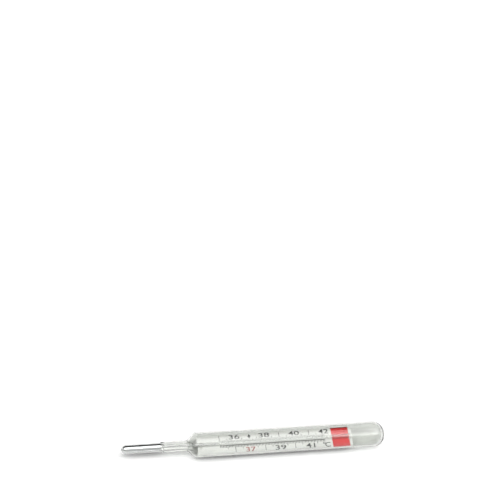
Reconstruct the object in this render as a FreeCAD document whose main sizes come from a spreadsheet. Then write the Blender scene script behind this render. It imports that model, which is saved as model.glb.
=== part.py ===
import FreeCAD, Part
import math
import os
import Sketcher

# Enclosed-scale clinical thermometer, in millimetres.
# +X runs from the bulb to the domed end, +Y across the scale, +Z up out of the scale.
# The origin is under the middle of the thermometer, on the surface that it lies on.
# Every piece is modelled about the bore's axis, and its Placement lifts it to the axis height.
# The oval body has a narrow flat underneath, on which it lies without rolling.

SIZES = {
    "total_length": 125.0,
    "bulb_length": 19.0,
    "bulb_width": 4.4,
    "bulb_wall": 0.45,
    "ring_length": 1.2,
    "neck_length": 11.7,
    "neck_width": 5.3,
    "neck_wall": 0.6,
    "shoulder_length": 4.3,
    "body_width": 12.5,
    "body_height": 10.6,
    "body_wall": 0.7,
    "dome_length": 5.7,
    "flat_depth": 0.1,
    "stem_width": 2.6,
    "mouth_depth": 0.25,
    "bead_length": 2.5,
    "bead_width": 3.5,
    "bead_gap": 0.8,
    "tube_width": 1.9,
    "tube_back": 0.75,
    "tube_bevel": 0.25,
    "bore_width": 0.5,
    "chamber_width": 1.0,
    "chamber_length": 2.8,
    "chamber_end_gap": 1.2,
    "plate_gap": 0.5,
    "plate_length": 74.0,
    "plate_width": 10.6,
    "plate_thickness": 0.3,
    "plate_corner": 0.6,
    "plate_margin": 0.9,
    "cement_length": 2.0,
    "cement_width": 3.6,
    "cement_height": 0.7,
    "pin_width": 0.32,
    "pin_root_width": 0.9,
    "pin_root_length": 0.7,
    "film": 0.02,
    "thread_length": 26.1,
    "thread_film": 0.015,
    "thread_layer": 0.06,
    "thread_step": 0.01,
    "degree_pitch": 7.1,
    "first_degree_place": -15.4,
}

# The shoulder's width follows a smooth step between the neck and the body.
SHOULDER_STATIONS = (0.25, 0.5, 0.75)
# Inner round ends are laid out in straight steps between these angles, in degrees.
ROUND_STEPS = (0, 35, 70)


class Size:
    """A length with the sheet formula that gives it, so that geometry and formula stay one."""

    def __init__(self, number, formula):
        self.number = number
        self.formula = formula

    def __add__(self, other):
        return Size(self.number + number_of(other), f"({self.formula} + {formula_of(other)})")

    def __sub__(self, other):
        return Size(self.number - number_of(other), f"({self.formula} - {formula_of(other)})")

    def __mul__(self, other):
        return Size(self.number * number_of(other), f"({self.formula} * {formula_of(other)})")

    def __truediv__(self, other):
        return Size(self.number / number_of(other), f"({self.formula} / {formula_of(other)})")

    def __neg__(self):
        return Size(-self.number, f"(-1 * {self.formula})")


def number_of(size):
    return size.number if isinstance(size, Size) else float(size)


def formula_of(size):
    return size.formula if isinstance(size, Size) else repr(float(size))


def other_side(hypotenuse, side):
    """The third side of a right-angled triangle, by Pythagoras."""
    rest = hypotenuse * hypotenuse - side * side
    return Size(math.sqrt(rest.number), f"sqrt({rest.formula})")


def smooth_step(share):
    """0 at share 0 and 1 at share 1, level at both ends."""
    return share * share * (3 - 2 * share)


def quarter_round():
    """Shares of a round end's length and of its radius, stepped along a quarter circle."""
    return [(math.sin(math.radians(angle)), math.cos(math.radians(angle))) for angle in ROUND_STEPS]


doc = FreeCAD.newDocument("clinical_thermometer")
sheet = doc.addObject("Spreadsheet::Sheet", "sizes")
for row, (word, number) in enumerate(SIZES.items(), start=1):
    sheet.set(f"A{row}", word)
    sheet.set(f"B{row}", str(number))
    sheet.setAlias(f"B{row}", word)
doc.recompute()


def sheet_size(word):
    return Size(SIZES[word], f"sizes.{word}")


# Stations along the thermometer, from the bulb's tip to the domed end.
tip_x = -sheet_size("total_length") / 2
seal_x = tip_x + sheet_size("bulb_length")
ring_start_x = seal_x - sheet_size("ring_length") / 2
ring_end_x = seal_x + sheet_size("ring_length") / 2
neck_end_x = seal_x + sheet_size("neck_length")
body_x = neck_end_x + sheet_size("shoulder_length")
dome_x = sheet_size("total_length") / 2 - sheet_size("dome_length")
plate_x = body_x + sheet_size("plate_gap")
plate_end_x = plate_x + sheet_size("plate_length")
bead_start_x = neck_end_x + sheet_size("bead_gap")
bead_end_x = bead_start_x + sheet_size("bead_length")
tube_end_x = plate_end_x - sheet_size("plate_margin")
chamber_end_x = tube_end_x - sheet_size("chamber_end_gap")
chamber_x = chamber_end_x - sheet_size("chamber_length")
thread_x = ring_end_x

bulb_r = sheet_size("bulb_width") / 2
bulb_inner_r = bulb_r - sheet_size("bulb_wall")
neck_r = sheet_size("neck_width") / 2
neck_inner_r = neck_r - sheet_size("neck_wall")
half_width = sheet_size("body_width") / 2
half_height = sheet_size("body_height") / 2
inner_half_width = half_width - sheet_size("body_wall")
inner_half_height = half_height - sheet_size("body_wall")
stem_r = sheet_size("stem_width") / 2
tube_r = sheet_size("tube_width") / 2
bore_r = sheet_size("bore_width") / 2
plate_top = -sheet_size("tube_back")
axis_height = half_height - sheet_size("flat_depth")


def new_body(label):
    """An empty piece whose axis lies at the thermometer's axis height."""
    body = doc.addObject("PartDesign::Body", label)
    body.Label = label
    body.setExpression("Placement.Base.z", axis_height.formula)
    return body


def origin_plane(body, role):
    return next(f for f in body.Origin.OriginFeatures if f.Role == role)


def new_sketch(body, name, role, offset=None):
    """A sketch on one of the piece's own origin planes, moved along the plane's normal."""
    sketch = body.newObject("Sketcher::SketchObject", name)
    sketch.AttachmentSupport = [(origin_plane(body, role), "")]
    sketch.MapMode = "FlatFace"
    if offset is not None:
        sketch.setExpression("AttachmentOffset.Base.z", offset.formula)
    return sketch


def add_size(sketch, constraint, word, size):
    """Add a constraint that holds a size, named and tied to the sheet."""
    number = sketch.addConstraint(constraint)
    sketch.renameConstraint(number, word)
    sketch.setExpression(f"Constraints.{word}", size.formula)


def hold_point(sketch, shape, end, place, word):
    """Tie a point of a shape to its x and y. A plain 0 puts it on the axis."""
    for axis, line, size in (("X", -2, place[0]), ("Y", -1, place[1])):
        if isinstance(size, Size):
            held = Sketcher.Constraint("Distance" + axis, -1, 1, shape, end, size.number)
            add_size(sketch, held, f"{word}_{axis.lower()}", size)
        else:
            sketch.addConstraint(Sketcher.Constraint("PointOnObject", shape, end, line))


def arc_between(start, end, radius, turn):
    """The arc under a half circle from start to end, anticlockwise for turn 1, clockwise for -1."""
    chord = end - start
    middle = (start + end) / 2
    rise = math.sqrt(radius**2 - (chord.Length / 2) ** 2)
    centre = middle + FreeCAD.Vector(-chord.y, chord.x, 0) * (turn * rise / chord.Length)
    first, last = (start, end) if turn > 0 else (end, start)
    angles = [math.atan2(p.y - centre.y, p.x - centre.x) for p in (first, last)]
    if angles[1] < angles[0]:
        angles[1] += 2 * math.pi
    return Part.ArcOfCircle(Part.Circle(centre, FreeCAD.Vector(0, 0, 1), radius), *angles)


def draw_outline(sketch, corners):
    """A closed outline. A corner (x, y) is reached by a line, and (x, y, radius, turn) by an arc."""
    places = [FreeCAD.Vector(number_of(c[0]), number_of(c[1]), 0) for c in corners]
    ends = []
    for n, corner in enumerate(corners):
        if len(corner) == 2:
            shape = sketch.addGeometry(Part.LineSegment(places[n - 1], places[n]), False)
            ends.append((shape, 1, 2))
            continue
        radius, turn = corner[2:]
        arc = arc_between(places[n - 1], places[n], radius.number, turn)
        shape = sketch.addGeometry(arc, False)
        ends.append((shape, 1, 2) if turn > 0 else (shape, 2, 1))
        add_size(sketch, Sketcher.Constraint("Radius", shape, radius.number), f"round_{n}", radius)
    for n, (shape, _, last) in enumerate(ends):
        following, first, _ = ends[(n + 1) % len(ends)]
        sketch.addConstraint(Sketcher.Constraint("Coincident", shape, last, following, first))
        hold_point(sketch, shape, last, corners[n], f"corner_{n}")


def draw_circle(sketch, radius):
    circle = Part.Circle(FreeCAD.Vector(), FreeCAD.Vector(0, 0, 1), radius.number)
    sketch.addGeometry(circle, False)
    sketch.addConstraint(Sketcher.Constraint("Coincident", 0, 3, -1, 1))
    add_size(sketch, Sketcher.Constraint("Radius", 0, radius.number), "radius", radius)


def draw_oval(sketch, half_long, half_short, upright=False):
    """An ellipse about the sketch's origin, held by its long and its short diameter."""
    long_end = FreeCAD.Vector(half_long.number, 0, 0)
    short_end = FreeCAD.Vector(0, half_short.number, 0)
    if upright:
        long_end, short_end = FreeCAD.Vector(0, half_long.number, 0), FreeCAD.Vector(-half_short.number, 0, 0)
    sketch.addGeometry(Part.Ellipse(long_end, short_end, FreeCAD.Vector()), False)
    sketch.exposeInternalGeometry(0)
    sketch.addConstraint(Sketcher.Constraint("Coincident", 0, 3, -1, 1))
    sketch.addConstraint(Sketcher.Constraint("Vertical" if upright else "Horizontal", 1))
    long_way = Sketcher.Constraint("Distance", 1, 2 * half_long.number)
    short_way = Sketcher.Constraint("Distance", 2, 2 * half_short.number)
    add_size(sketch, long_way, "long_way", half_long * 2)
    add_size(sketch, short_way, "short_way", half_short * 2)


def revolve(body, name, corners, kind="PartDesign::Revolution"):
    """Turn an outline of (x, radius) corners about the bore's axis, to add or, as a Groove, to cut."""
    sketch = new_sketch(body, name + "_outline", "XZ_Plane")
    draw_outline(sketch, corners)
    turned = body.newObject(kind, name)
    turned.Profile = sketch
    turned.ReferenceAxis = (sketch, ["H_Axis"])
    turned.Angle = 360
    sketch.Visibility = False
    return turned


def run_along(body, name, sketch, length, kind="PartDesign::Pad"):
    """Carry a cross-section along +X, to add or, as a Pocket, to cut."""
    run = body.newObject(kind, name)
    run.Profile = sketch
    run.Reversed = kind == "PartDesign::Pocket"
    run.setExpression("Length", length.formula)
    sketch.Visibility = False
    return run


def loft_through(body, name, kind, sections):
    """A skin through the sections. Cut from the inside, it runs straight from each to the next."""
    loft = body.newObject(kind, name)
    loft.Profile = sections[0]
    loft.Sections = sections[1:]
    loft.Ruled = kind == "PartDesign::SubtractiveLoft"
    for section in sections:
        section.Visibility = False
    return loft


def shoulder(body, name, kind, start, length, round_r, oval_across, oval_up):
    """The loft from the round neck to the oval body, level where it meets both."""
    first = new_sketch(body, name + "_round", "YZ_Plane", start)
    draw_circle(first, round_r)
    sections = [first]
    for number, share in enumerate(SHOULDER_STATIONS + (1.0,), start=1):
        grown = smooth_step(share)
        section = new_sketch(body, f"{name}_oval_{number}", "YZ_Plane", start + length * share)
        half_across = round_r + (oval_across - round_r) * grown
        half_up = round_r + (oval_up - round_r) * grown
        draw_oval(section, half_across, half_up)
        sections.append(section)
    return loft_through(body, name, kind, sections)


def outer_dome(body, start, length, half_across, half_up):
    """Half an ellipsoid that closes the oval body."""
    cap = body.newObject("PartDesign::AdditiveEllipsoid", "dome")
    cap.AttachmentSupport = [(origin_plane(body, "YZ_Plane"), "")]
    cap.MapMode = "FlatFace"
    cap.Angle1 = 0
    cap.Angle2 = 90
    cap.setExpression("AttachmentOffset.Base.z", start.formula)
    cap.setExpression("Radius1", length.formula)
    cap.setExpression("Radius2", half_across.formula)
    cap.setExpression("Radius3", half_up.formula)
    return cap


def inner_dome(body, start, length, half_across, half_up):
    """The hollow of the dome, which follows the same curve in steps and ends almost in a point."""
    sections = []
    for number, (forward, inward) in enumerate(quarter_round()):
        section = new_sketch(body, f"inner_dome_{number}", "YZ_Plane", start + length * forward)
        draw_oval(section, half_across * inward, half_up * inward)
        sections.append(section)
    return loft_through(body, "inner_dome", "PartDesign::SubtractiveLoft", sections)


def glass_envelope():
    """The outer tube: round neck, shoulder from circle to oval, oval body and dome, all hollow."""
    body = new_body("glass_envelope")
    wall = sheet_size("body_wall")
    length = sheet_size("shoulder_length")
    # The inner shoulder lies half a wall further in, which keeps the slanted wall as thick.
    inner_neck_x = neck_end_x + wall / 2
    inner_body_x = body_x + wall / 2

    neck = new_sketch(body, "neck_section", "YZ_Plane", ring_end_x)
    draw_circle(neck, neck_r)
    run_along(body, "neck", neck, neck_end_x - ring_end_x)
    shoulder(body, "shoulder", "PartDesign::AdditiveLoft", neck_end_x, length, neck_r, half_width, half_height)
    oval = new_sketch(body, "body_section", "YZ_Plane", body_x)
    draw_oval(oval, half_width, half_height)
    run_along(body, "oval_body", oval, dome_x - body_x)
    outer_dome(body, dome_x, sheet_size("dome_length"), half_width, half_height)
    below = new_sketch(body, "flat_section", "YZ_Plane", neck_end_x)
    draw_outline(below, [
        (-half_width, -half_height),
        (half_width, -half_height),
        (half_width, -axis_height),
        (-half_width, -axis_height),
    ])
    run_along(body, "resting_flat", below, sheet_size("total_length") / 2 - neck_end_x, "PartDesign::Pocket")

    neck_bore = new_sketch(body, "neck_bore_section", "YZ_Plane", ring_end_x)
    draw_circle(neck_bore, neck_inner_r)
    run_along(body, "neck_bore", neck_bore, inner_neck_x - ring_end_x, "PartDesign::Pocket")
    shoulder(body, "inner_shoulder", "PartDesign::SubtractiveLoft", inner_neck_x, length,
             neck_inner_r, inner_half_width, inner_half_height)
    inner_oval = new_sketch(body, "inner_body_section", "YZ_Plane", inner_body_x)
    draw_oval(inner_oval, inner_half_width, inner_half_height)
    run_along(body, "inner_body", inner_oval, dome_x - inner_body_x, "PartDesign::Pocket")
    inner_dome(body, dome_x, sheet_size("dome_length") - wall, inner_half_width, inner_half_height)
    return body


def seal_ring():
    """The fused ring that closes the neck and joins the bulb and the stem to it."""
    body = new_body("seal_ring")
    revolve(body, "ring", [
        (ring_start_x, stem_r),
        (ring_end_x, stem_r),
        (ring_end_x, neck_r),
        (seal_x, neck_r),
        (ring_start_x, bulb_r),
    ])
    return body


def round_floor(round_x, radius):
    """Corners of the bulb's inside, from its straight wall to the small flat under the pin."""
    steps = [(round_x - radius * out, radius * inward) for out, inward in quarter_round()]
    return steps + [(round_x - radius, steps[-1][1] * 0.85)]


def bulb_glass():
    """The thin bulb: a tube with a round end, open towards the ring."""
    body = new_body("bulb_glass")
    round_x = tip_x + bulb_r
    floor_x = tip_x + sheet_size("bulb_wall")
    revolve(body, "bulb", [
        (ring_start_x, bulb_inner_r),
        (ring_start_x, bulb_r),
        (round_x, bulb_r),
        (tip_x, 0, bulb_r, 1),
        (floor_x, 0),
        *round_floor(round_x, bulb_inner_r)[::-1],
    ])
    return body


def bulb_liquid():
    """The liquid that fills the bulb round the glass pin."""
    body = new_body("bulb_liquid")
    film = sheet_size("film")
    liquid_r = bulb_inner_r - film
    round_x = tip_x + bulb_r
    mouth_x = ring_start_x - film
    revolve(body, "filling", [
        (mouth_x, 0),
        (mouth_x, liquid_r),
        *round_floor(round_x, liquid_r),
        (round_x - liquid_r, 0),
    ])
    pin_r = sheet_size("pin_width") / 2 + film
    root_r = sheet_size("pin_root_width") / 2 + film
    root_x = tip_x + sheet_size("bulb_wall") + sheet_size("pin_root_length") + film
    revolve(body, "pin_passage", [
        (tip_x, 0),
        (tip_x, root_r),
        (round_x - liquid_r * 0.9, root_r),
        (root_x, pin_r),
        (mouth_x + film, pin_r),
        (mouth_x + film, 0),
    ], "PartDesign::Groove")
    return body


def constriction_pin():
    """The glass pin that stands on the bulb's floor. Its tip in the bore's mouth breaks the column."""
    body = new_body("constriction_pin")
    root_r = sheet_size("pin_root_width") / 2
    pin_r = sheet_size("pin_width") / 2
    floor_x = tip_x + sheet_size("bulb_wall")
    revolve(body, "pin", [
        (seal_x, 0),
        (seal_x, pin_r),
        (floor_x + sheet_size("pin_root_length"), pin_r),
        (floor_x, root_r),
        (floor_x, 0),
    ])
    return body


def capillary_stem():
    """The stout lower end of the capillary, with a funnel mouth in the bulb."""
    body = new_body("capillary_stem")
    mouth = sheet_size("mouth_depth")
    revolve(body, "stem", [
        (ring_start_x, bore_r + mouth),
        (ring_start_x + mouth, bore_r),
        (bead_start_x, bore_r),
        (bead_start_x, stem_r),
        (ring_start_x, stem_r),
    ])
    return body


def capillary_bead():
    """The swelling where the stem and the slim tube are fused, in the shoulder."""
    body = new_body("capillary_bead")
    bead_r = sheet_size("bead_width") / 2
    length = sheet_size("bead_length")
    revolve(body, "bead", [
        (bead_start_x, bore_r),
        (bead_end_x, bore_r),
        (bead_end_x, tube_r),
        (bead_start_x + length * 0.6, bead_r),
        (bead_start_x + length * 0.3, bead_r),
        (bead_start_x, stem_r),
    ])
    return body


def capillary_tube():
    """The slim tube on the plate: flat back, round front as a lens, and a chamber at its top."""
    body = new_body("capillary_tube")
    flat = other_side(tube_r, sheet_size("tube_back"))
    section = new_sketch(body, "lens_section", "YZ_Plane", bead_end_x)
    draw_outline(section, [
        (flat, plate_top),
        (0, tube_r, tube_r, 1),
        (-flat, plate_top, tube_r, 1),
    ])
    run_along(body, "lens_tube", section, tube_end_x - bead_end_x)
    chamber_r = sheet_size("chamber_width") / 2
    revolve(body, "bore_and_chamber", [
        (bead_end_x, 0),
        (bead_end_x, bore_r),
        (chamber_x, bore_r),
        (chamber_x + chamber_r, chamber_r),
        (chamber_end_x - chamber_r, chamber_r),
        (chamber_end_x, chamber_r / 2),
        (chamber_end_x, 0),
    ], "PartDesign::Groove")
    bevel = sheet_size("tube_bevel")
    revolve(body, "bevelled_end", [
        (tube_end_x - bevel, tube_r),
        (tube_end_x, tube_r - bevel),
        (tube_end_x + bevel, tube_r - bevel),
        (tube_end_x + bevel, tube_r + bevel),
        (tube_end_x - bevel, tube_r + bevel),
    ], "PartDesign::Groove")
    return body


def scale_plate():
    """The flat plate under the capillary, with rounded corners, held by the oval's narrow sides."""
    body = new_body("scale_plate")
    corner = sheet_size("plate_corner")
    half = sheet_size("plate_width") / 2
    sketch = new_sketch(body, "plate_outline", "XY_Plane", plate_top - sheet_size("plate_thickness"))
    draw_outline(sketch, [
        (plate_x + corner, -half, corner, 1),
        (plate_end_x - corner, -half),
        (plate_end_x, -half + corner, corner, 1),
        (plate_end_x, half - corner),
        (plate_end_x - corner, half, corner, 1),
        (plate_x + corner, half),
        (plate_x, half - corner, corner, 1),
        (plate_x, -half + corner),
    ])
    plate = body.newObject("PartDesign::Pad", "plate")
    plate.Profile = sketch
    plate.setExpression("Length", "sizes.plate_thickness")
    sketch.Visibility = False
    return body


def cement_dab(label, middle_x, cut_start, cut_length):
    """A low dab on the plate, cut to the shape of the tube that it holds."""
    body = new_body(label)
    body.AllowCompound = True
    sections = []
    for number, (up, inward) in enumerate(quarter_round()):
        section = new_sketch(body, f"dab_{number}", "XY_Plane", plate_top + sheet_size("cement_height") * up)
        section.setExpression("AttachmentOffset.Base.x", middle_x.formula)
        half_width_here = sheet_size("cement_width") / 2 * inward
        half_length_here = sheet_size("cement_length") / 2 * inward
        draw_oval(section, half_width_here, half_length_here, upright=True)
        sections.append(section)
    loft_through(body, "dab", "PartDesign::AdditiveLoft", sections).Ruled = True
    seat = new_sketch(body, "tube_seat", "YZ_Plane", cut_start)
    draw_circle(seat, tube_r)
    run_along(body, "seat", seat, cut_length, "PartDesign::Pocket")
    return body


def lower_cement():
    length = sheet_size("cement_length")
    middle = plate_x + length
    return cement_dab("lower_cement", middle, middle - length, length * 2)


def upper_cement():
    """This dab also closes round the tube's end."""
    length = sheet_size("cement_length")
    middle = tube_end_x - sheet_size("plate_margin") / 2
    return cement_dab("upper_cement", middle, middle - length, tube_end_x - middle + length)


def thread_layers():
    """Inner and outer radii of the column's three nested lengths, from the outside in."""
    film = sheet_size("thread_film")
    layer = sheet_size("thread_layer")
    root_outer = bore_r - film
    root_inner = root_outer - layer
    middle_outer = root_inner - sheet_size("thread_step")
    middle_inner = middle_outer - layer
    tip_outer = middle_inner - sheet_size("thread_step")
    return (root_inner, root_outer), (middle_inner, middle_outer), tip_outer


def thread_sleeve(label, radii):
    """One hollow length of the column."""
    body = new_body(label)
    end_x = thread_x + sheet_size("thread_length")
    revolve(body, "sleeve", [
        (thread_x, radii[0]),
        (end_x, radii[0]),
        (end_x, radii[1]),
        (thread_x, radii[1]),
    ])
    return body


def thread_tip(outer):
    """The column's top length, with the domed surface that is read against the scale."""
    body = new_body("liquid_thread_tip")
    end_x = thread_x + sheet_size("thread_length")
    revolve(body, "column", [
        (thread_x, 0),
        (end_x, 0),
        (end_x, outer / 2),
        (end_x - outer / 2, outer),
        (thread_x, outer),
    ])
    return body


def build_pieces():
    root, middle, tip_outer = thread_layers()
    return [
        glass_envelope(),
        seal_ring(),
        bulb_glass(),
        bulb_liquid(),
        constriction_pin(),
        capillary_stem(),
        capillary_bead(),
        capillary_tube(),
        scale_plate(),
        lower_cement(),
        upper_cement(),
        thread_sleeve("liquid_thread_root", root),
        thread_sleeve("liquid_thread_middle", middle),
        thread_tip(tip_outer),
    ]


def check_document():
    """Stop before anything is written if an object failed or a piece isn't a sound solid."""
    for thing in doc.Objects:
        if "Invalid" in thing.State or "Error" in thing.State:
            raise RuntimeError(f"{thing.Name} of {thing.Label} failed: {thing.State}")
    for piece in pieces:
        if piece.Shape.isNull() or not piece.Shape.isValid() or piece.Shape.Volume <= 0:
            raise RuntimeError(f"{piece.Label} has no sound solid")


pieces = build_pieces()
doc.recompute()
check_document()
os.makedirs("parts", exist_ok=True)
for piece in pieces:
    solids = len(piece.Shape.Solids)
    print(f"{piece.Label}: {piece.Shape.Volume:.3f} mm3 in {solids} solid(s)")
    piece.Shape.exportStep(f"parts/{piece.Label}.step")
top_degree_x = sheet_size("first_degree_place") + sheet_size("degree_pitch") * 7
print(f"column top at rest {thread_x.number + SIZES['thread_length']:.2f}, 42 degrees at {top_degree_x.number:.2f}")
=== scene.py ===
# %% [markdown]
# # An enclosed-scale clinical thermometer
# The thermometer is a hollow oval glass tube. A slim capillary and a white scale plate lie inside it, and
# a thin glass bulb full of liquid metal is fused to its narrow neck. The imported CAD model gives every
# place and size, and this lesson dresses it: glass, metal, enamel and print. The first step loads the CAD
# frame.

# %% Load the frame
import math

import bpy
import numpy as np
from mathutils import Matrix, Vector


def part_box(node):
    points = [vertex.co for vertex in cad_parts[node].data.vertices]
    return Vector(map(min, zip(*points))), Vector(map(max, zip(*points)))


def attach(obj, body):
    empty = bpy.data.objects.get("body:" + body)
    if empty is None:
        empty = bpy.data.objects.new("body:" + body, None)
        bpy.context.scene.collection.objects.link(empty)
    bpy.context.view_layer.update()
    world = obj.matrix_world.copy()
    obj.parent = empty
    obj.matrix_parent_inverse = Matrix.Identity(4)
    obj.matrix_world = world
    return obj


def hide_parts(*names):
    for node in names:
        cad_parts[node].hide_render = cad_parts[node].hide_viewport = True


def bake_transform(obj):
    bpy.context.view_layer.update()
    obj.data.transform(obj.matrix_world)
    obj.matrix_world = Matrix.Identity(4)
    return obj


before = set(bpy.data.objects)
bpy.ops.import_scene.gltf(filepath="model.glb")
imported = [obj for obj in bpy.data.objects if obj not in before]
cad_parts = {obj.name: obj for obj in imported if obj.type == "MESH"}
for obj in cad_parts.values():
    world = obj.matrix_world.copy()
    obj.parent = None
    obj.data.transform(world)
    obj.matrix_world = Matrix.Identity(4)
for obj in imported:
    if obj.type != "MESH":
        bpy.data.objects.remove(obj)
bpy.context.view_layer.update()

MM = 0.001


# %% [markdown]
# ## Sizes
# The glass follows the CAD stations along X, in millimetres, measured from the middle of the length. The
# bore's axis lies a little under half the body's height above the floor, because the oval rests on a
# narrow flat. The ends of the small fused pieces are read from the CAD nodes' boxes. The other sizes
# repeat the source's, because a box doesn't tell where a neck ends or how thick a wall is.

# %% Stations and radii


def reach(node):
    """The lowest and the highest x of a CAD node at rest, in millimetres."""
    low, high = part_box(node)
    return low[0] / MM, high[0] / MM


AXIS_Z = 5.2
TIP_X = -62.5
BULB_R, BULB_WALL = 2.2, 0.45
NECK_R, NECK_WALL = 2.65, 0.6
NECK_END_X, BODY_X, DOME_X, END_X = -31.8, -27.5, 56.8, 62.5
HALF_WIDTH, HALF_HEIGHT, BODY_WALL, TIP_WALL = 6.25, 5.3, 0.7, 1.1
STEM_R, TUBE_R, BORE_R = 1.3, 0.95, 0.25
CHAMBER_R = 0.5
PLATE_LEVEL = -0.75
PLATE_TOP = AXIS_Z + PLATE_LEVEL
FUSED_GAP, FILM = 0.01, 0.02
MOUTH_ROUND = 0.12
REST_LIFT = 0.02
TUBE_FLOOR = PLATE_LEVEL - 0.004

RING_X, RING_END_X = reach("seal_ring")
BEAD_X, BEAD_END_X = reach("capillary_bead")
TUBE_X, TUBE_END_X = reach("capillary_tube")
print(f"ring {RING_X:.2f} to {RING_END_X:.2f} mm, bead {BEAD_X:.2f} to {BEAD_END_X:.2f} mm")
print(f"tube {TUBE_X:.2f} to {TUBE_END_X:.2f} mm")

# %% [markdown]
# ## Drawn glass as turned skins
# A lamp worker draws and fuses tubes, so nearly every piece here is a profile carried round one axis.
# Blender's Screw or Spin modifier could turn a circle, but the body is an oval that grows out of a round
# neck. One function therefore takes a profile whose rows hold a half width and a half height, and works
# out all points at once. The profile runs from the inside of a piece, round its rim, to its outside, so
# each piece is a closed shell with a real wall. Glass needs that: a ray has to enter and leave each wall
# to bend as it should.

# %% A skin round the axis


def rows(x, half_width, half_height=None, floor=None):
    """Profile rows (x, half width, half height, lowest z) from numbers or arrays of one length."""
    height = half_width if half_height is None else half_height
    columns = np.broadcast_arrays(np.atleast_1d(x), half_width, height, -1e3 if floor is None else floor)
    return np.stack([np.asarray(c, float) for c in columns], axis=1)


def volume_of(points, triangles):
    """Signed volume: a sixth of the sum of a . (b x c) over the triangles (a, b, c).

    It is positive if the faces point outwards.
    """
    a, b, c = (points[triangles[:, k]] for k in range(3))
    return float(np.einsum("ij,ij->i", a, np.cross(b, c)).sum() / 6)


def put_mesh(name, points, faces):
    """A mesh object at the origin from points in millimetres, turned so that its faces point outwards."""
    fan = np.concatenate([f[:, [0, k, k + 1]] for f in faces for k in range(1, f.shape[1] - 1)])
    volume = volume_of(points, fan)
    if volume < 0:
        faces = [f[:, ::-1] for f in faces]
    mesh = bpy.data.meshes.new(name)
    mesh.from_pydata((points * MM).tolist(), [], [face for f in faces for face in f.tolist()])
    mesh.shade_smooth()
    mesh.set_sharp_from_angle(angle=math.radians(38))
    piece = bpy.data.objects.new(name, mesh)
    bpy.context.scene.collection.objects.link(piece)
    print(f"{name}: {len(points)} points, {abs(volume):.2f} mm3")
    return piece


def skin(name, profile, around=96, ring=False):
    """A closed surface round the bore's axis.

    The point of row (x, w, h, low) at angle t is (x, w cos t, max(h sin t, low)), lifted to the axis height.
    An open profile starts and ends on the axis, where its rows close to a pole. A ring's profile is a loop.
    """
    t = np.arange(around) * 2 * np.pi / around
    x, w, h, low = (column[:, None] for column in profile.T)
    y = w * np.cos(t)
    z = np.maximum(h * np.sin(t), low)
    grid = np.stack([np.broadcast_to(x, y.shape), y, z + AXIS_Z], axis=2)
    body = grid if ring else grid[1:-1]
    points = body.reshape(-1, 3)
    index = np.arange(len(points)).reshape(len(body), around)
    here = index if ring else index[:-1]
    there = np.roll(index, -1, axis=0) if ring else index[1:]
    quads = np.stack([here, np.roll(here, -1, 1), np.roll(there, -1, 1), there], axis=2).reshape(-1, 4)
    if ring:
        return put_mesh(name, points, [quads])
    poles = grid[[0, -1], 0]
    first, last = len(points), len(points) + 1
    start = np.stack([np.roll(index[0], -1), index[0], np.full(around, first)], axis=1)
    stop = np.stack([index[-1], np.roll(index[-1], -1), np.full(around, last)], axis=1)
    return put_mesh(name, np.vstack([points, poles]), [quads, start, stop])


def arc(x, r, reach_x, reach_r, start, stop, steps=16):
    """Rows on an ellipse about (x, r): the angle a runs in degrees, x + reach_x cos a, r + reach_r sin a."""
    a = np.radians(np.linspace(start, stop, steps))
    return rows(x + reach_x * np.cos(a), r + reach_r * np.sin(a))


# %% [markdown]
# ## The envelope
# The real envelope is one tube: a round neck, a shoulder blown out to the oval body, and a domed end that
# a flame has closed. Its outer and inner skins are the same function with a different inset. The
# shoulder's share g follows a smooth step, 3 s^2 - 2 s^3, so it leaves the neck and meets the body without
# a crease, and the dome is half an ellipsoid. Its wall is thickest at the tip, where the flame has drawn
# the glass together. The flat underneath stays 20 microns above the floor, because two surfaces in one
# place render as a dark stripe.

# %% The envelope's two skins


def envelope_rows(inset, neck_inset, start_x, tip_x):
    """Rows from the mouth to the dome's tip.

    Half sizes are neck + (body - neck) g in the shoulder. In the dome they are the body's times cos a, at
    a distance sin a of the dome's length, where the angle a runs from 0 to 90 degrees.
    """
    shift = inset / 2
    shoulder = np.linspace(0, 1, 29)
    grown = shoulder**2 * (3 - 2 * shoulder)
    neck = NECK_R - neck_inset
    wide, high = HALF_WIDTH - inset, HALF_HEIGHT - inset
    neck_x = np.linspace(start_x, NECK_END_X + shift, 14)[:-1]
    shoulder_x = NECK_END_X + shift + (BODY_X - NECK_END_X) * shoulder
    body_x = np.linspace(BODY_X + shift, DOME_X, 42)[1:-1]
    a = np.radians(np.linspace(0, 90, 33))
    dome_x = DOME_X + (tip_x - DOME_X) * np.sin(a)
    return np.vstack([
        rows(neck_x, neck),
        rows(shoulder_x, neck + (wide - neck) * grown, neck + (high - neck) * grown),
        rows(body_x, wide, high),
        rows(dome_x, wide * np.cos(a), high * np.cos(a)),
    ])


mouth_x = RING_END_X + FUSED_GAP
outer_rows = envelope_rows(0.0, 0.0, mouth_x + MOUTH_ROUND, END_X)
outer_rows[:, 3] = REST_LIFT - AXIS_Z
inner_rows = envelope_rows(BODY_WALL, NECK_WALL, mouth_x + MOUTH_ROUND, END_X - TIP_WALL)
rim_rows = rows([mouth_x, mouth_x], [NECK_R - NECK_WALL + MOUTH_ROUND, NECK_R - MOUTH_ROUND])
envelope = skin("envelope_glass", np.vstack([inner_rows[::-1], rim_rows, outer_rows]), around=144)

# %% [markdown]
# ## Ring, bulb and its filling
# Where the neck, the stem and the bulb are fused the glass runs into a small rounded ring. The bulb is a
# thinner tube with a round end. Its liquid metal is a separate body a hair inside the wall. The wall acts
# as a lens and makes the metal seem to fill the bulb to its outline, as it does on the real object, so no
# trick is needed in the material. The liquid has a hole for the constriction pin and a wider one for the
# pin's root.

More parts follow.
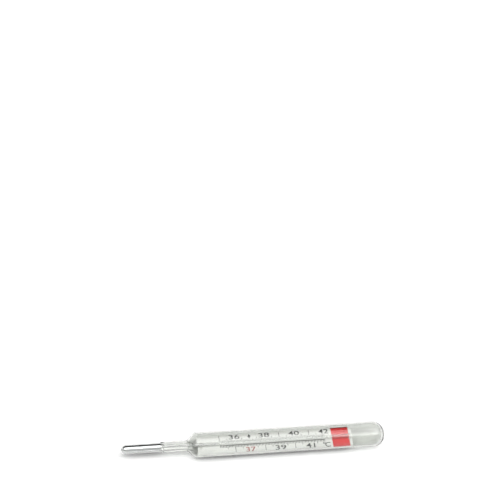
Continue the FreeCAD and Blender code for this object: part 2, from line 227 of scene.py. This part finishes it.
# %% Ring, bulb and liquid
seal_x = (RING_X + RING_END_X) / 2
edge = 0.1
ring_rows = np.vstack([
    rows([RING_X + FUSED_GAP, RING_END_X - edge], STEM_R + FUSED_GAP),
    rows([RING_END_X, RING_END_X], [STEM_R + edge, NECK_R - MOUTH_ROUND]),
    arc(seal_x, BULB_R, RING_END_X - 0.8 * edge - seal_x, NECK_R - BULB_R, 30, 90, 6),
    arc(seal_x, BULB_R, seal_x - RING_X - FUSED_GAP, NECK_R - BULB_R, 90, 180, 14),
])
ring = skin("ring_glass", ring_rows, ring=True)

round_x = TIP_X + BULB_R
bulb_inner_r = BULB_R - BULB_WALL
bulb_mouth_x = RING_X - FUSED_GAP
bulb_rows = np.vstack([
    arc(round_x, 0, bulb_inner_r, bulb_inner_r, 180, 90, 25),
    rows(np.linspace(round_x, bulb_mouth_x, 20)[1:], bulb_inner_r),
    rows(np.linspace(bulb_mouth_x, round_x, 20)[:-1], BULB_R),
    arc(round_x, 0, BULB_R, BULB_R, 90, 180, 33),
])
bulb = skin("bulb_skin", bulb_rows)

liquid_r = bulb_inner_r - FILM
liquid_end_x = bulb_mouth_x - FILM
pin_hole_r, root_hole_r, root_hole_length = 0.18, 0.47, 0.7
hole_angle = math.asin(root_hole_r / liquid_r)
root_hole_x = round_x - liquid_r * math.cos(hole_angle)
liquid_rows = np.vstack([
    rows([root_hole_x + root_hole_length, liquid_end_x], pin_hole_r),
    rows([liquid_end_x], liquid_r),
    rows(np.linspace(liquid_end_x, round_x, 20)[1:-1], liquid_r),
    arc(round_x, 0, liquid_r, liquid_r, 90, 180 - math.degrees(hole_angle), 25),
])
liquid = skin("bulb_metal", liquid_rows, ring=True)

# %% [markdown]
# ## The capillary
# The capillary is three glasses in one line: a stout stem in the neck, a bead where two tubes of different
# width were fused, and a slim tube on the plate. The slim tube has a flat back against the plate and a
# round front, which magnifies the hair-thin column. Its section is a circle whose lowest points are cut
# off at the flat, so max(r sin t, flat) is all the formula that it needs. The flat sinks four microns into
# the enamel, because there is no air between the two, and the white then shows through the tube as it does
# on the real plate. A small chamber at its top takes the gas that the column pushes ahead of it. The
# bead's radius runs evenly from the stem's to the tube's over its length s, and swells by sin(pi
# s^0.9)^1.2, fuller towards the stem.

# %% Stem, bead and lens tube
funnel = 0.25
stem_rows = np.vstack([
    rows([RING_X, RING_X + funnel], [BORE_R + funnel, BORE_R]),
    rows([BEAD_X - FUSED_GAP] * 2, [BORE_R, STEM_R]),
    rows(np.linspace(BEAD_X - FUSED_GAP, RING_X, 16)[1:], STEM_R),
])
stem = skin("stem_glass", stem_rows, ring=True)

share = np.linspace(0, 1, 25)
SWELL = 0.62
bead_r = STEM_R + (TUBE_R - STEM_R) * share + SWELL * np.sin(np.pi * share**0.9) ** 1.2
bead_rows = np.vstack([
    rows([BEAD_X, BEAD_END_X - FUSED_GAP], BORE_R),
    rows(BEAD_X + (BEAD_END_X - FUSED_GAP - BEAD_X) * share[::-1], bead_r[::-1]),
])
bead = skin("bead_glass", bead_rows, ring=True)

CHAMBER_LENGTH, CHAMBER_END_GAP = 2.8, 1.2
chamber_end_x = TUBE_END_X - CHAMBER_END_GAP
chamber_x = chamber_end_x - CHAMBER_LENGTH
bevel = 0.25
turned_edge = np.radians([30, 60, 90])
bore_rows = np.vstack([
    arc(chamber_end_x - CHAMBER_R, 0, CHAMBER_R, CHAMBER_R, 0, 90, 12),
    rows([chamber_x + 0.9, chamber_x + 0.4, chamber_x], [CHAMBER_R * 0.94, 0.33, BORE_R]),
    rows(np.linspace(chamber_x, TUBE_X, 60)[1:], BORE_R),
])
bevel_x = TUBE_END_X - bevel + bevel * np.sin(turned_edge)
bevel_r = TUBE_R - bevel + bevel * np.cos(turned_edge)
tube_outer = np.vstack([
    rows(np.linspace(TUBE_X, TUBE_END_X - bevel, 60), TUBE_R, floor=TUBE_FLOOR),
    rows(bevel_x, bevel_r, floor=TUBE_FLOOR),
    rows([TUBE_END_X], 0.0),
])
tube = skin("lens_tube", np.vstack([bore_rows, tube_outer]))

# %% [markdown]
# ## The column of liquid
# The column has to grow as the thermometer warms, and stay unbroken. The CAD model needs three nested
# lengths for that. Here one rod with many rings of points stands for all three.

# %% One rod
low_x, high_x = reach("liquid_thread_tip")
COLUMN_R = 0.235
column_rows = np.vstack([
    rows([low_x], 0.0),
    rows(np.linspace(low_x, high_x - COLUMN_R, 160), COLUMN_R),
    arc(high_x - COLUMN_R, 0, COLUMN_R, COLUMN_R, 90, 0, 12)[1:],
])
column = skin("column_metal", column_rows, around=32)
print(f"column {low_x:.1f} to {high_x:.1f} mm at rest")

# %% [markdown]
# ## The printed scale
# The plate is printed before it is slipped into the tube. Ticks stand at each tenth of a degree from 35 to
# 42, with a longer one at each half. A whole degree has the longest tick on the side that its numeral or
# sign leaves free, and 35, which has neither, has it on the far side. On the near side the ticks stand on a
# thin base line. A printed line is a very low box on the plate, so it exists in the geometry and keeps a
# sharp edge from close by. All ticks are one array of boxes.

# %% Ticks
FIRST_DEGREE, DEGREES = 35, 7
DEGREE = 7.1
FIRST_X = -15.9
INK_LIFT, INK_THICK = 0.004, 0.01
BOX_SIDES = np.array([[3, 2, 1, 0], [4, 5, 6, 7], [0, 1, 5, 4], [1, 2, 6, 5], [2, 3, 7, 6], [3, 0, 4, 7]])


def boxes(name, spans):
    """Low boxes on the plate from spans, whose rows are (x low, x high, y low, y high).

    Each of a box's eight corners picks one x, one y and either the ink's underside or its top.
    """
    spans = np.asarray(spans, float)
    pick = np.array([[0, 2, 0], [1, 2, 0], [1, 3, 0], [0, 3, 0], [0, 2, 1], [1, 2, 1], [1, 3, 1], [0, 3, 1]])
    level = PLATE_TOP + INK_LIFT + INK_THICK * pick[:, 2]
    level = np.broadcast_to(level, (len(spans), len(pick)))
    points = np.stack([spans[:, pick[:, 0]], spans[:, pick[:, 1]], level], axis=2)
    faces = (BOX_SIDES[None] + len(pick) * np.arange(len(spans))[:, None, None]).reshape(-1, 4)
    return put_mesh(name, points.reshape(-1, 3), [faces])


tenths = np.arange(10 * DEGREES + 1)
tick_x = FIRST_X + DEGREE * tenths / 10
whole, half = tenths % 10 == 0, tenths % 10 == 5
odd = (FIRST_DEGREE + tenths // 10) % 2 == 1
at_37, at_42 = tenths == 20, tenths == 70
TICK_START, SHORT_TICK, HALF_TICK, LONG_TICK = 0.62, 1.95, 2.9, 4.6
LINE_LOW, LINE_HIGH = -0.95, -0.72


def tick_row(side, signed):
    """One side's ticks as spans, each from the capillary's edge outwards.

    A half degree's tick is longer than a tenth's, and a whole degree's is the longest. Where signed is true
    a whole degree only has a tenth's tick, which leaves room for a numeral or a sign.
    """
    far = np.where(whole & ~signed, LONG_TICK, np.where(half, HALF_TICK, SHORT_TICK))
    thick = np.where(whole | half, 0.12, 0.15)
    ends = np.sort([np.full_like(far, side * TICK_START), side * far], axis=0)
    return np.stack([tick_x - thick, tick_x + thick, *ends], axis=1)


base_line = [(FIRST_X, FIRST_X + DEGREES * DEGREE, LINE_LOW, LINE_HIGH)]
far_side, near_side = tick_row(1, ~odd | at_37), tick_row(-1, odd | at_42)
ticks = boxes("scale_ticks", np.vstack([far_side, near_side, base_line]))
print(len(tenths), "ticks a side, a degree is", DEGREE, "mm")

# %% [markdown]
# ## The red mark
# A red field ends the scale, past the highest reading. It is printed in two halves, and the line between
# them is a much darker red. A strip of the same dark red along its far side is painted shade, where the
# glass wall shades the plate's far edge. They are boxes too, side by side with no overlap, so that no two
# inks lie in one place.

# %% The red mark
MARK_X, MARK_END_X, MARK_LOW, MARK_HIGH, MARK_SHADE_EDGE = 37.4, 45.6, -5.2, 4.72, 5.3
red_mark = boxes("red_mark", [
    (MARK_X, MARK_END_X, MARK_LOW, LINE_LOW),
    (MARK_X, MARK_END_X, LINE_HIGH, MARK_HIGH),
])
# The first box is painted shade along the plate's far edge, under the glass wall; the second is the darker
# red line between the halves.
red_line_and_shade = boxes("red_mark_line_and_shade", [
    (MARK_X - 0.2, MARK_END_X, MARK_HIGH, MARK_SHADE_EDGE),
    (MARK_X, MARK_END_X, LINE_LOW, LINE_HIGH),
])

# %% [markdown]
# ## Words as meshes
# A word could stay a Text object, but then its size would follow the font. Here Blender's own plain font
# sets it, its outline is thickened by a hair, and it becomes a mesh, which is then stretched to the width
# and height that the print has.

# %% Words as meshes
BOLDER = 0.01


def word_points(word, centre_x, centre_y, width, height):
    """Points and faces of a word set flat on the plate.

    Each point p becomes (p - middle of the word) / size of the word * wanted size + wanted centre.
    """
    letters = bpy.data.curves.new("letters", "FONT")
    letters.body = word
    letters.offset = BOLDER
    letters.extrude = INK_THICK
    letters.resolution_u = 5
    holder = bpy.data.objects.new("letters", letters)
    bpy.context.scene.collection.objects.link(holder)
    depsgraph = bpy.context.evaluated_depsgraph_get()
    mesh = bpy.data.meshes.new_from_object(holder.evaluated_get(depsgraph))
    points = np.empty(len(mesh.vertices) * 3)
    mesh.vertices.foreach_get("co", points)
    points = points.reshape(-1, 3)
    faces = [np.array([p.vertices[:]]) for p in mesh.polygons]
    low, high = points.min(0), points.max(0)
    size = np.array([width, height, INK_THICK])
    middle = np.array([centre_x, centre_y, PLATE_TOP + INK_LIFT + INK_THICK / 2])
    points = (points - (low + high) / 2) / (high - low) * size + middle
    bpy.data.objects.remove(holder)
    bpy.data.curves.remove(letters)
    bpy.data.meshes.remove(mesh)
    return points, faces


def print_words(name, words):
    """One mesh of several words. Each is (text, centre x, centre y, width, height)."""
    points, faces, count = [], [], 0
    for entry in words:
        more, loops = word_points(*entry)
        points.append(more)
        faces += [loop + count for loop in loops]
        count += len(more)
    return put_mesh(name, np.vstack(points), faces)


# %% [markdown]
# ## The numerals
# The numerals are wide and upright. Even degrees stand on the far side and odd degrees on the near side,
# and 37 is red. A small diamond marks 37 on the far side. The unit is two signs, because the small ring of
# the degree sign is printed bolder than the font has it.

# %% Numerals and signs
NUMERAL_Y, NUMERAL_WIDTH, NUMERAL_HEIGHT = 3.58, 5.2, 2.45


def degree_x(value):
    """Where a reading stands along the plate: the first tick's place + degrees since then * their pitch."""
    return FIRST_X + DEGREE * (value - FIRST_DEGREE)


def numeral(value, side, width=NUMERAL_WIDTH):
    """A whole degree's numeral on one side of the plate, centred on its tick."""
    return str(value), degree_x(value), side * NUMERAL_Y, width, NUMERAL_HEIGHT


far_words = [numeral(36, 1), numeral(38, 1), numeral(40, 1), numeral(42, 1, width=4.7)]
unit_sign = [("°", 33.35, -2.75, 1.3, 1.2), ("C", 35.0, -3.7, 2.6, 2.45)]
near_words = [numeral(39, -1), numeral(41, -1, width=4.4), *unit_sign]
numerals = print_words("numerals_black", far_words + near_words)
red_numeral = print_words("numeral_red", [numeral(37, -1, width=4.7)])


def diamond(name, x, y, wide, high):
    """A flat four-cornered sign: its corners lie half its width or height from the centre."""
    corners = np.array([[-wide, 0], [0, -high], [wide, 0], [0, high]]) / 2 + [x, y]
    z = PLATE_TOP + INK_LIFT
    points = np.vstack([np.c_[corners, np.full(4, z)], np.c_[corners, np.full(4, z + INK_THICK)]])
    return put_mesh(name, points, [BOX_SIDES])


sign = diamond("diamond_37", degree_x(37), NUMERAL_Y - 0.2, 1.6, 2.5)

# %% [markdown]
# ## Writing materials as arithmetic
# A finish is a recipe of numbers that change over the surface. A small class wraps a node's output, and
# Python's own operators then add the Math nodes.

# %% Arithmetic on a node's output


class Wire:
    """One output of a node tree. Arithmetic on it adds a Math node and gives that node's output."""

    def __init__(self, tree, socket):
        self.tree, self.socket = tree, socket

    def reckon(self, operation, *values):
        """The output of a new Math node that works on the values in their order."""
        return self.tree.node("Math", {"operation": operation}, dict(enumerate(values)))

    def __add__(self, other):
        return self.reckon("ADD", self, other)

    def __sub__(self, other):
        return self.reckon("SUBTRACT", self, other)

    def __rsub__(self, other):
        return self.reckon("SUBTRACT", other, self)

    def __mul__(self, other):
        return self.reckon("MULTIPLY", self, other)

    def __pow__(self, other):
        return self.reckon("POWER", self, other)

    def __abs__(self):
        return self.reckon("ABSOLUTE", self)

    __radd__, __rmul__ = __add__, __mul__


# %% [markdown]
# ## One method for every node
# Every other node comes from one method, which sets its options first and then its sockets, because an
# option such as a Mix node's data type changes which sockets there are. The recipes below then read as
# lists of what goes in. Patterns read Object coordinates, so they sit still on a piece while it moves.

# %% A recipe


class Recipe:
    """A material's or a world's node tree, emptied and ready for a recipe."""

    def __init__(self, owner):
        owner.use_nodes = True
        self.owner, self.nodes, self.links = owner, owner.node_tree.nodes, owner.node_tree.links
        self.nodes.clear()

    def node(self, kind, settings=None, sockets=None, output=0):
        """Add a node, set its options, then give each named or numbered socket a value or a wire."""
        made = self.nodes.new("ShaderNode" + kind)
        for word, value in (settings or {}).items():
            if word == "stops":
                ramp = made.color_ramp.elements
                while len(ramp) < len(value):
                    ramp.new(1.0)
                for stop, (place, grey) in zip(ramp, value):
                    stop.position = place
                    stop.color = (grey, grey, grey, 1)
            else:
                setattr(made, word, value)
        for place, value in (sockets or {}).items():
            if isinstance(value, Wire):
                self.links.new(value.socket, made.inputs[place])
            else:
                made.inputs[place].default_value = value
        return Wire(self, made.outputs[output]) if made.outputs else made

    def place(self, scale=(1, 1, 1)):
        """Object coordinates, scaled to stretch or squeeze a pattern."""
        where = self.node("TexCoord", output="Object")
        return self.node("Mapping", {"vector_type": "POINT"}, {"Vector": where, "Scale": scale})

    def noise(self, size_mm, detail=3.0, stretch=(1, 1, 1)):
        """A cloudy pattern from 0 to 1 whose patches are about size_mm wide."""
        sockets = {"Vector": self.place(stretch), "Scale": 1 / (size_mm * MM), "Detail": detail}
        return self.node("TexNoise", {}, sockets)

    def blend(self, factor, low, high):
        """From one colour to another, by a factor that changes over the surface.

        A colour is three numbers or a wire. A Mix node's colours are its inputs 6 and 7 and its output 2.
        """
        settings = {"data_type": "RGBA", "blend_type": "MIX"}
        low, high = (c if isinstance(c, Wire) else (*c, 1) for c in (low, high))
        return self.node("Mix", settings, {0: factor, 6: low, 7: high}, output=2)

    def finish(self, surface, kind="OutputMaterial"):
        """Join the surface to the output, and give the material or the world back."""
        self.node(kind, {}, {"Surface": surface})
        return self.owner


def new_recipe(name):
    """An empty recipe for a new material."""
    return Recipe(bpy.data.materials.new(name))


# %% [markdown]
# ## Glass
# Flame-worked glass is clear but never flat: the draw leaves long shallow waves, and handling leaves a faint
# haze. The waves are a bump of a few microns, stretched along X, and the haze raises the roughness in
# patches. Where the eye looks along a wall instead of through it, the glass is thicker and shows its
# grey-green body. There its colour also runs to a rim colour that is near black on the envelope and the
# bulb, which is painted shade for the dark edges that refraction shows. The neck is drawn thin, so it is
# paler than the body. A path tracer finds lamps behind glass only by luck, so for shadow rays alone the
# surface lets the light straight through, less of it where the ray grazes the wall, so that the rims throw
# the darker shadow that they throw in the photograph. Everything that the eye sees is still real refraction.

# %% Glass finishes
SHADOW_TINT, RIM_SHADE = (0.88, 0.885, 0.88, 1), 0.8


def glass(name, tint, rim, power, ior, haze, wave_mm, pale=None):
    """Clear glass, hazy in patches and rippled along X.

    Its colour goes from the tint to the rim's by 0.85 * facing^power + 0.15 * a cloudy pattern. A dark rim
    colour is partly the glass's body colour and partly painted shade at the silhouette. With a pale tint
    given, the neck has it instead, and the shoulder runs evenly from one to the other.
    """
    r = new_recipe(name)
    cloud = r.noise(6.0, stretch=(0.4, 1, 1))
    patches = r.noise(2.5, detail=5.0)
    ripple = r.noise(1.6, detail=2.0, stretch=(0.05, 1, 1))
    bump = r.node("Bump", {}, {"Strength": 0.25, "Distance": wave_mm * MM, "Height": ripple})
    grazing = r.node("LayerWeight", {}, {"Blend": 0.5}, output="Facing")
    # Partly painted shade: the colour darkens towards the silhouette.
    depth_and_rim_shade = 0.85 * grazing**power + 0.15 * cloud
    colour = r.blend(depth_and_rim_shade, tint, rim)
    if pale:
        along = r.node("SeparateXYZ", {}, {"Vector": r.place()})
        grown = r.node("MapRange", {}, {
            "Value": along,
            "From Min": NECK_END_X * MM,
            "From Max": BODY_X * MM,
            "To Min": 0.0,
            "To Max": 1.0,
        })
        colour = r.blend(grown, r.blend(depth_and_rim_shade, pale, rim), colour)
    solid = r.node("BsdfPrincipled", {}, {
        "Base Color": colour,
        "Roughness": haze * patches,
        "IOR": ior,
        "Transmission Weight": 1.0,
        "Normal": bump,
    })
    clear = r.node("BsdfTransparent", {}, {"Color": SHADOW_TINT})
    shadow = r.node("LightPath", output="Is Shadow Ray")
    let_through = shadow * (1 - RIM_SHADE * grazing**2)
    return r.finish(r.node("MixShader", {}, {0: let_through, 1: solid, 2: clear}))


# The near-black rims of the envelope and the bulb are partly painted shade for their dark edges.
envelope_glass = glass(
    "clear_envelope_glass", tint=(0.865, 0.875, 0.853), rim=(0.04, 0.05, 0.04), pale=(0.94, 0.945, 0.93),
    power=3.0, ior=1.5, haze=0.02, wave_mm=0.004)
bulb_glass = glass(
    "clear_bulb_glass", tint=(0.93, 0.94, 0.93), rim=(0.03, 0.033, 0.03),
    power=1.5, ior=1.49, haze=0.015, wave_mm=0.002)
capillary_glass = glass(
    "drawn_capillary_glass", tint=(0.98, 0.985, 0.975), rim=(0.8, 0.82, 0.8),
    power=3.0, ior=1.51, haze=0.02, wave_mm=0.002)
print("glass finishes:", [made.name for made in (envelope_glass, bulb_glass, capillary_glass)])

# %% [markdown]
# The bead is where two glasses ran together, and it keeps soot and fine bubbles from the flame. It is the
# same clear glass with dark specks, which a Voronoi pattern places: a speck is wherever a cell's centre is
# very near.

# %% The speckled bead


def speckled_glass(name):
    """Clear glass with dark specks where the distance to a cell's centre is small."""
    r = new_recipe(name)
    where = r.place()
    cell = r.node("TexVoronoi", {"feature": "F1"}, {"Vector": where, "Scale": 1 / (0.5 * MM)})
    speck = r.node("Math", {"operation": "LESS_THAN"}, {0: cell, 1: 0.3})
    bump = r.node("Bump", {}, {"Strength": 0.5, "Distance": 0.02 * MM, "Height": r.noise(0.6)})
    solid = r.node("BsdfPrincipled", {}, {
        "Base Color": r.blend(speck, (0.9, 0.92, 0.9), (0.25, 0.26, 0.24)),
        "Roughness": 0.02 + 0.1 * r.noise(0.8),
        "IOR": 1.51,
        "Transmission Weight": 1.0,
        "Normal": bump,
    })
    clear = r.node("BsdfTransparent", {}, {"Color": (0.85, 0.87, 0.85, 1)})
    shadow = r.node("LightPath", output="Is Shadow Ray")
    return r.finish(r.node("MixShader", {}, {0: shadow, 1: solid, 2: clear}))


bead_glass = speckled_glass("speckled_bead_glass")
print("specks about 0.5 mm apart in", bead_glass.name)

# %% [markdown]
# ## Liquid metal, enamel, ink and cement
# The liquid is a mirror, a little duller where a skin of oxide has wetted the wall. In the bore it is a much
# darker copy of the same metal: painted shade for the light that the wall of a hair-thin bore scatters away.
# The plate is white enamel with a faint orange peel and a trace of yellowing. Ink lies unevenly, so its
# colour varies and its gloss breaks up. The cement is a clear dab with a cloudy trace.

# %% Other finishes


def liquid_metal(name, dull, bright, haze):
    """A mirror: fully metallic, dull to bright and smooth to hazy in cloudy patches of oxide."""
    r = new_recipe(name)
    oxide = r.noise(3.0, detail=4.0)
    return r.finish(r.node("BsdfPrincipled", {}, {
        "Base Color": r.blend(oxide, dull, bright),
        "Metallic": 1.0,
        "Roughness": haze + 0.05 * oxide,
    }))


def enamel(name):
    """White enamel: two near whites in large patches, with a fine orange peel bump."""
    r = new_recipe(name)
    age = r.noise(14.0, detail=4.0)
    peel = r.node("Bump", {}, {"Strength": 0.2, "Distance": 0.01 * MM, "Height": r.noise(0.35)})
    return r.finish(r.node("BsdfPrincipled", {}, {
        "Base Color": r.blend(age, (0.67, 0.67, 0.657), (0.64, 0.642, 0.63)),
        "Roughness": 0.32 + 0.18 * r.noise(1.5),
        "Normal": peel,
    }))


def ink(name, thin, thick):
    """Printing ink: its colour runs from thin to thick in small patches, and its gloss breaks up."""
    r = new_recipe(name)
    density = r.noise(0.5, detail=4.0)
    rise = r.node("Bump", {}, {"Strength": 0.3, "Distance": 0.004 * MM, "Height": density})
    return r.finish(r.node("BsdfPrincipled", {}, {
        "Base Color": r.blend(density, thin, thick),
        "Roughness": 0.35 + 0.25 * r.noise(0.8),
        "Normal": rise,
    }))


def clear_cement(name):
    """Set cement: a clear drop, mixed by a lumpy pattern with a little cloudy white."""
    r = new_recipe(name)
    lumps = r.noise(0.4, detail=5.0)
    bump = r.node("Bump", {}, {"Strength": 0.4, "Distance": 0.03 * MM, "Height": lumps})
    cloudy = r.node("BsdfPrincipled", {}, {
        "Base Color": r.blend(lumps, (0.72, 0.72, 0.69), (0.84, 0.84, 0.81)),
        "Roughness": 0.4 + 0.3 * lumps,
        "Normal": bump,
    })
    clear = r.node("BsdfTransparent", {}, {"Color": (0.97, 0.97, 0.96, 1)})
    return r.finish(r.node("MixShader", {}, {0: 0.1 + 0.25 * lumps, 1: clear, 2: cloudy}))


mirror = liquid_metal("mirror_liquid_metal", (0.68, 0.685, 0.69), (0.74, 0.745, 0.75), 0.05)
# Painted shade: the thread's metal is a much darker copy of the bulb's, for the little light that reaches it
# in the bore.
shaded_thread_metal = liquid_metal("thread_metal_painted_shade", (0.34, 0.345, 0.35), (0.40, 0.405, 0.41), 0.15)
white_enamel = enamel("white_plate_enamel")
black_ink = ink("black_scale_ink", (0.05, 0.05, 0.048), (0.015, 0.015, 0.016))
red_ink = ink("red_mark_ink", (0.64, 0.022, 0.026), (0.54, 0.014, 0.018))
dark_red_ink = ink("dark_red_ink", (0.36, 0.08, 0.07), (0.22, 0.04, 0.035))
# A darker red for the mark's middle line and for the painted shade along its far edge.
line_and_shade_ink = ink("red_mark_line_and_shade_ink", (0.22, 0.015, 0.015), (0.13, 0.008, 0.008))
cement = clear_cement("set_cement")
print("inks:", [made.name for made in (black_ink, red_ink, dark_red_ink, line_and_shade_ink)])

# %% [markdown]
# ## Dressing the pieces
# Each new piece has a row: its finish, the material slot that it answers to, and the CAD nodes that it
# stands for. It gets its finish, those CAD nodes are hidden, and every piece but the column rides on the
# thermometer's body. The scale plate, the glass pin and the cement keep their CAD meshes and only get a
# finish.

# %% Finishes, slots and bodies
dressed = [
    (envelope, envelope_glass, "envelope_glass", ["glass_envelope"]),
    (ring, envelope_glass, "envelope_glass", ["seal_ring"]),
    (bulb, bulb_glass, "bulb_glass", ["bulb_glass"]),
    (liquid, mirror, "liquid_metal", ["bulb_liquid"]),
    (stem, capillary_glass, "capillary_glass", ["capillary_stem"]),
    (bead, bead_glass, "capillary_glass", ["capillary_bead"]),
    (tube, capillary_glass, "capillary_glass", ["capillary_tube"]),
    (column, shaded_thread_metal, "liquid_metal", [f"liquid_thread_{name}" for name in ("root", "middle", "tip")]),
    (ticks, black_ink, "white_plate", []),
    (numerals, black_ink, "white_plate", []),
    (red_numeral, dark_red_ink, "white_plate", []),
    (sign, black_ink, "white_plate", []),
    (red_mark, red_ink, "white_plate", []),
    (red_line_and_shade, line_and_shade_ink, "white_plate", []),
]
for piece, finish, slot, nodes in dressed:
    piece.data.materials.append(finish)
    if nodes:
        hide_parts(*nodes)
    if piece is not column:
        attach(piece, "thermometer")
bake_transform(column)

for node, finish in [
    ("scale_plate", white_enamel),
    ("constriction_pin", capillary_glass),
    ("lower_cement", cement),
    ("upper_cement", cement),
]:
    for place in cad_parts[node].material_slots:
        place.material = finish
print("dressed", len(dressed), "new pieces and 4 CAD nodes")

# %% [markdown]
# ## The studio
# Glass shows what surrounds it, so the light is the picture. One long soft light hangs overhead and fades
# off behind, the near side is a dim grey, and a dark card low behind the thermometer draws the crisp black
# line along the bulb. The surroundings are a function of one angle: the angle round the X axis, from the
# near horizon (0) over the top to the far horizon (1), and they fade towards both ends of X. The camera
# itself sees a plain pale backdrop. The floor is a plain pale sheet.

# %% Floor and surroundings
bpy.context.scene.view_settings.view_transform = "Standard"

floor_half = 6.0
floor_mesh = bpy.data.meshes.new("floor")
floor_corners = np.array([[-1, -1, 0], [1, -1, 0], [1, 1, 0], [-1, 1, 0]]) * floor_half
floor_mesh.from_pydata(floor_corners.tolist(), [], [(0, 1, 2, 3)])
floor = bpy.data.objects.new("floor", floor_mesh)
bpy.context.scene.collection.objects.link(floor)
paper = new_recipe("pale_paper")
paper_shade = paper.blend(paper.noise(30.0), (0.80, 0.80, 0.797), (0.82, 0.82, 0.817))
floor_mesh.materials.append(paper.finish(paper.node("BsdfPrincipled", {}, {
    "Base Color": paper_shade, "Roughness": 0.9, "Specular IOR Level": 0.1})))

LIGHT_LEVEL = 4.0
BAND = [
    (0.0, 0.19), (0.33, 0.19), (0.37, 0.5), (0.39, 1.0), (0.50, 1.0),
    (0.55, 0.65), (0.64, 0.5), (0.67, 0.36), (0.685, 0.01), (0.985, 0.01), (0.995, 0.2),
]
studio = Recipe(bpy.data.worlds.new("studio"))
bpy.context.scene.world = studio.owner
direction = studio.node("TexCoord", output="Generated")
split = studio.node("SeparateXYZ", {}, {"Vector": direction})
across = Wire(studio, split.socket.node.outputs[1])
up = Wire(studio, split.socket.node.outputs[2])
along = Wire(studio, split.socket.node.outputs[0])
turn = split.reckon("ARCTAN2", up, 0 - across) * (1 / math.pi)
band = studio.node("ValToRGB", {"stops": BAND}, {"Fac": turn})
ends = studio.node("MapRange", {}, {
    "Value": abs(along), "From Min": 0.72, "From Max": 0.9, "To Min": 1.0, "To Max": 0.45})
glow = studio.node("Background", {}, {"Color": band, "Strength": ends * LIGHT_LEVEL})
pale = studio.node("Background", {}, {"Color": (0.93, 0.93, 0.93, 1), "Strength": 1.0})
seen = studio.node("LightPath", output="Is Camera Ray")
studio.finish(studio.node("MixShader", {}, {0: seen, 1: glow, 2: pale}), "OutputWorld")
print("studio light level", LIGHT_LEVEL)

# %% [markdown]
# ## The camera
# The picture was taken from well above and a little towards the bulb, with a long lens, and the camera was
# held slightly turned. Four numbers say that: the elevation, the turn, the roll and the distance. The
# thermometer lies low in the frame, so the camera looks past it, up and slightly to the left.

# %% Camera
ELEVATION, TURN, ROLL = (math.radians(v) for v in (57.27, 19.42, 12.87))
DISTANCE = 1.5
FOCAL_PX, IMAGE_PX, SENSOR_MM = 3206.8, 500, 36.0
OBJECT_PX = (253.6, 441.4)

flat = math.cos(ELEVATION)
back = np.array([-math.sin(TURN) * flat, -math.cos(TURN) * flat, math.sin(ELEVATION)])
level = np.array([math.cos(TURN), -math.sin(TURN), 0.0])
upright = np.cross(back, level)
right = math.cos(ROLL) * level + math.sin(ROLL) * upright
upward = math.cos(ROLL) * upright - math.sin(ROLL) * level
eye = np.array([0, 0, AXIS_Z * MM]) + back * DISTANCE
lift = math.atan((OBJECT_PX[1] - IMAGE_PX / 2) / FOCAL_PX)
aside = math.atan((OBJECT_PX[0] - IMAGE_PX / 2) / FOCAL_PX)


def swing(one, other, angle):
    """Two directions at right angles, turned in their plane: one cos a + other sin a, and its partner."""
    return (one * math.cos(angle) + other * math.sin(angle), other * math.cos(angle) - one * math.sin(angle))


back, upward = swing(back, upward, -lift)
back, right = swing(back, right, aside)

camera_data = bpy.data.cameras.new("camera")
camera_data.sensor_width = SENSOR_MM
camera_data.lens = FOCAL_PX * SENSOR_MM / IMAGE_PX
camera_data.clip_start, camera_data.clip_end = 0.01, 50.0
camera = bpy.data.objects.new("camera", camera_data)
bpy.context.scene.collection.objects.link(camera)
turned = Matrix([right, upward, back]).transposed().to_4x4()
camera.matrix_world = Matrix.Translation(Vector(eye)) @ turned
bpy.context.scene.camera = camera
print("lens", round(camera_data.lens, 1), "mm, camera", [round(float(v), 3) for v in eye])
